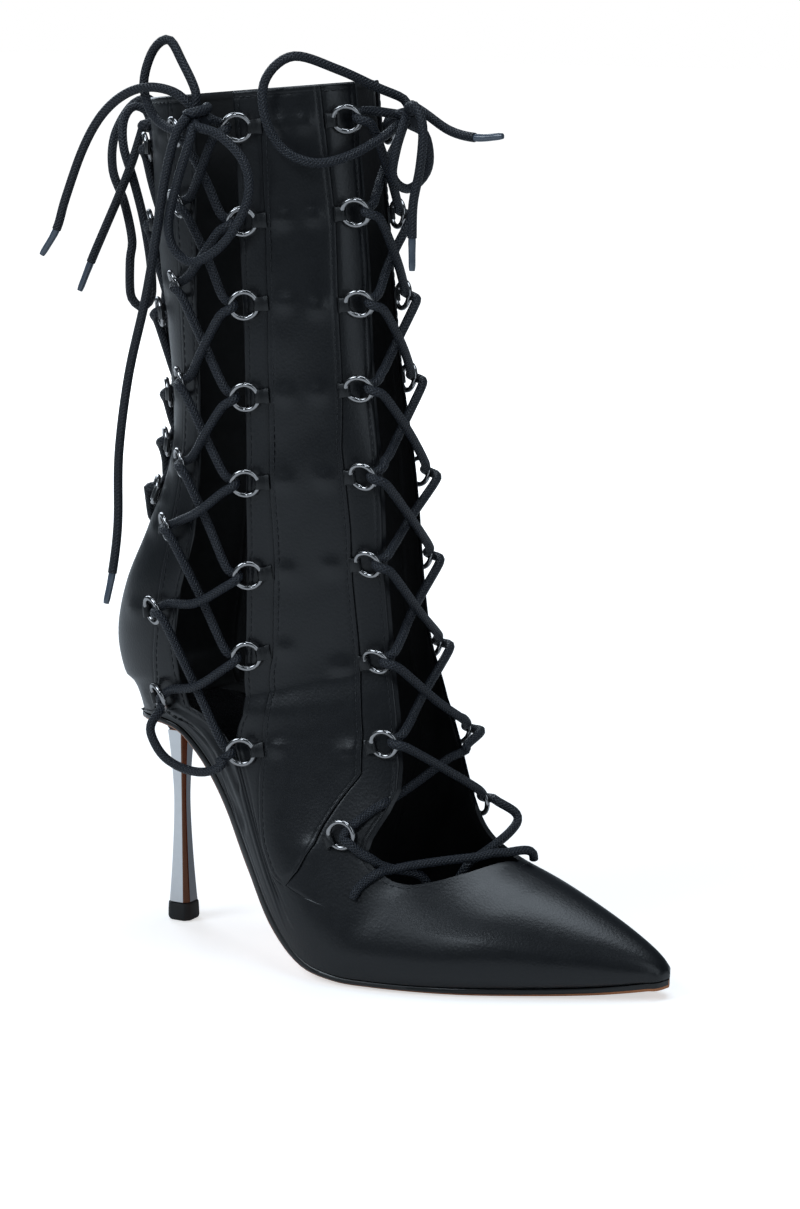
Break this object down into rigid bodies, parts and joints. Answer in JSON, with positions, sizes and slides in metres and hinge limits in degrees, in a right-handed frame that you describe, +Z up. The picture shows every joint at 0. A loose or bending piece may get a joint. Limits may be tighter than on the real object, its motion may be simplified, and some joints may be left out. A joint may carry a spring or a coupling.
{
  "type": "lace up ankle boot",
  "caption": "Pointed-toe ankle boot with a slim metal heel and laces drawn through rings at the front, the outer side and the back; open lacing gaps at front and side.",
  "frame": {"origin": "middle of the heel tip's lower face, on the floor plane", "axes": "+X towards the toe, +Y towards the wearer's left, the inner side of the foot, +Z up"},
  "size_m": [0.2525, 0.0918, 0.3488],
  "materials": {
    "black_leather": "smooth satin black leather with a fine grain",
    "sole_tan": "tan sole, matte, black edge",
    "insole_black": "glossy black",
    "bright_metal": "polished bright metal",
    "ring_metal": "polished dark nickel",
    "black_rubber": "matte black",
    "lace_cord": "round waxed cord, near black"
  },
  "bodies": {
    "root": {"upper": "black_leather", "outsole": "sole_tan", "insole": "insole_black", "heel_block": "black_leather", "heel_spike": "bright_metal", "top_lift": "black_rubber", "ring_front_outer_1": "ring_metal", "ring_front_outer_2": "ring_metal", "ring_front_outer_3": "ring_metal", "ring_front_outer_4": "ring_metal", "ring_front_outer_5": "ring_metal", "ring_front_outer_6": "ring_metal", "ring_front_outer_7": "ring_metal", "ring_front_outer_8": "ring_metal", "ring_front_outer_9": "ring_metal", "ring_front_inner_1": "ring_metal", "ring_front_inner_2": "ring_metal", "ring_front_inner_3": "ring_metal", "ring_front_inner_4": "ring_metal", "ring_front_inner_5": "ring_metal", "ring_front_inner_6": "ring_metal", "ring_front_inner_7": "ring_metal", "ring_front_inner_8": "ring_metal", "ring_front_inner_9": "ring_metal", "ring_side_front_1": "ring_metal", "ring_side_front_2": "ring_metal", "ring_side_front_3": "ring_metal", "ring_side_front_4": "ring_metal", "ring_side_front_5": "ring_metal", "ring_side_front_6": "ring_metal", "ring_side_front_7": "ring_metal", "ring_side_front_8": "ring_metal", "ring_side_back_1": "ring_metal", "ring_side_back_2": "ring_metal", "ring_side_back_3": "ring_metal", "ring_side_back_4": "ring_metal", "ring_side_back_5": "ring_metal", "ring_side_back_6": "ring_metal", "ring_side_back_7": "ring_metal", "ring_side_back_8": "ring_metal", "ring_back_outer_1": "ring_metal", "ring_back_outer_2": "ring_metal", "ring_back_outer_3": "ring_metal", "ring_back_outer_4": "ring_metal", "ring_back_outer_5": "ring_metal", "ring_back_outer_6": "ring_metal", "ring_back_inner_1": "ring_metal", "ring_back_inner_2": "ring_metal", "ring_back_inner_3": "ring_metal", "ring_back_inner_4": "ring_metal", "ring_back_inner_5": "ring_metal", "ring_back_inner_6": "ring_metal", "lace_front": "lace_cord", "lace_side": "lace_cord", "lace_back": "lace_cord", "bow_front": "lace_cord", "bow_side": "lace_cord", "bow_back": "lace_cord"}
  },
  "joints": []
}
